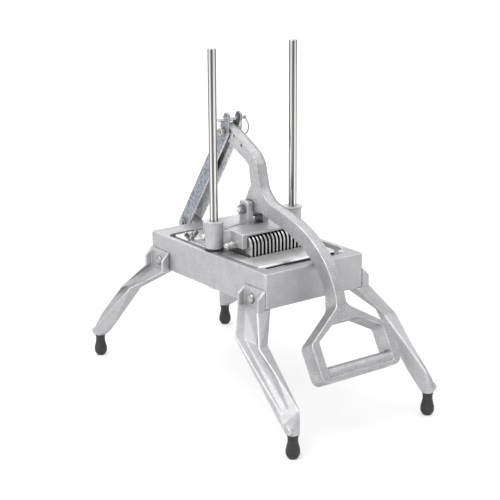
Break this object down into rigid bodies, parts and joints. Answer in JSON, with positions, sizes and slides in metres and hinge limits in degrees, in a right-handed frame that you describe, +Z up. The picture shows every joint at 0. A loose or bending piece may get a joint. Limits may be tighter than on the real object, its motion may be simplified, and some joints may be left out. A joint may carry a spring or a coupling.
{
  "type": "onion slicer",
  "caption": "Hand-lever onion slicer: a finned pusher head slides down guide rods through a fixed row of blades, on a cast frame with splayed legs and rubber feet.",
  "frame": {"origin": "on the table, midway between the four feet", "axes": "+X to the operator's right, +Y to the rear (the handle is at -Y), +Z up along the guide rods"},
  "size_m": [0.2864, 0.5406, 0.5385],
  "materials": {
    "cast_aluminium": "tumbled satin casting",
    "polished_aluminium": "polished plate",
    "stainless_steel": "bright drawn",
    "zinc_plated_steel": "clear zinc plating",
    "yellow_zinc_steel": "yellow zinc plating",
    "black_rubber": "moulded satin rubber",
    "pale_nylon": "turned plastic"
  },
  "bodies": {
    "frame": {"base_frame": "cast_aluminium", "leg_front_left": "cast_aluminium", "leg_front_right": "cast_aluminium", "leg_rear_left": "cast_aluminium", "leg_rear_right": "cast_aluminium", "foot_front_left": "black_rubber", "foot_front_right": "black_rubber", "foot_rear_left": "black_rubber", "foot_rear_right": "black_rubber", "leg_screws": "stainless_steel", "guide_rod_left": "stainless_steel", "guide_rod_right": "stainless_steel", "rod_nuts": "stainless_steel", "rod_bumpers": "black_rubber", "blade_deck": "polished_aluminium", "slicing_blades": "stainless_steel", "blade_rods": "stainless_steel", "deck_studs": "stainless_steel", "link_pivot_pin": "stainless_steel", "link_pivot_clips": "stainless_steel"},
    "head": {"pusher_head": "cast_aluminium", "bushing_left": "pale_nylon", "bushing_right": "pale_nylon", "pusher_fins": "stainless_steel", "fin_rods": "stainless_steel", "fin_spacers": "stainless_steel", "acorn_nuts": "stainless_steel", "lever_pin": "stainless_steel", "lever_pin_nut": "stainless_steel"},
    "lever": {"lever_handle": "cast_aluminium"},
    "link": {"handle_link": "zinc_plated_steel", "link_bolt": "zinc_plated_steel", "link_nut": "yellow_zinc_steel", "link_spacers": "pale_nylon"},
    "detent": {"detent_pin": "stainless_steel"},
    "ring": {"pull_ring": "stainless_steel"},
    "left_wing_nut": {"wing_nut_left": "stainless_steel"},
    "right_wing_nut": {"wing_nut_right": "stainless_steel"}
  },
  "joints": [
    {"name": "head_slide", "type": "slide", "parent": "frame", "child": "head", "axis": [0, 0, 1], "range_m": [0, 0.1]},
    {"name": "lever_pivot", "type": "hinge", "parent": "head", "child": "lever", "pos_m": [0, 0.002, 0.288], "axis": [-1, 0, 0], "range_deg": [0, 43.7]},
    {"name": "link_pivot", "type": "hinge", "parent": "frame", "child": "link", "pos_m": [0, 0.178, 0.228], "axis": [-1, 0, 0], "range_deg": [0, 18.5]},
    {"name": "detent_pull", "type": "slide", "parent": "link", "child": "detent", "axis": [1, 0, 0], "range_m": [0, 0.038]},
    {"name": "ring_swing", "type": "hinge", "parent": "detent", "child": "ring", "pos_m": [0.0238, 0.05808, 0.41689], "axis": [0, -1, 0], "range_deg": [0, 80]},
    {"name": "left_wing_nut_turn", "type": "hinge", "parent": "frame", "child": "left_wing_nut", "pos_m": [-0.067, 0.074, 0.234], "axis": [0, 0, 1], "continuous": true},
    {"name": "right_wing_nut_turn", "type": "hinge", "parent": "frame", "child": "right_wing_nut", "pos_m": [0.067, 0.074, 0.234], "axis": [0, 0, 1], "continuous": true}
  ],
  "couplings": [
    {"joint": "lever_pivot", "follows": "head_slide", "rad_per_m": 7.6178},
    {"joint": "link_pivot", "follows": "head_slide", "rad_per_m": 3.2176}
  ]
}
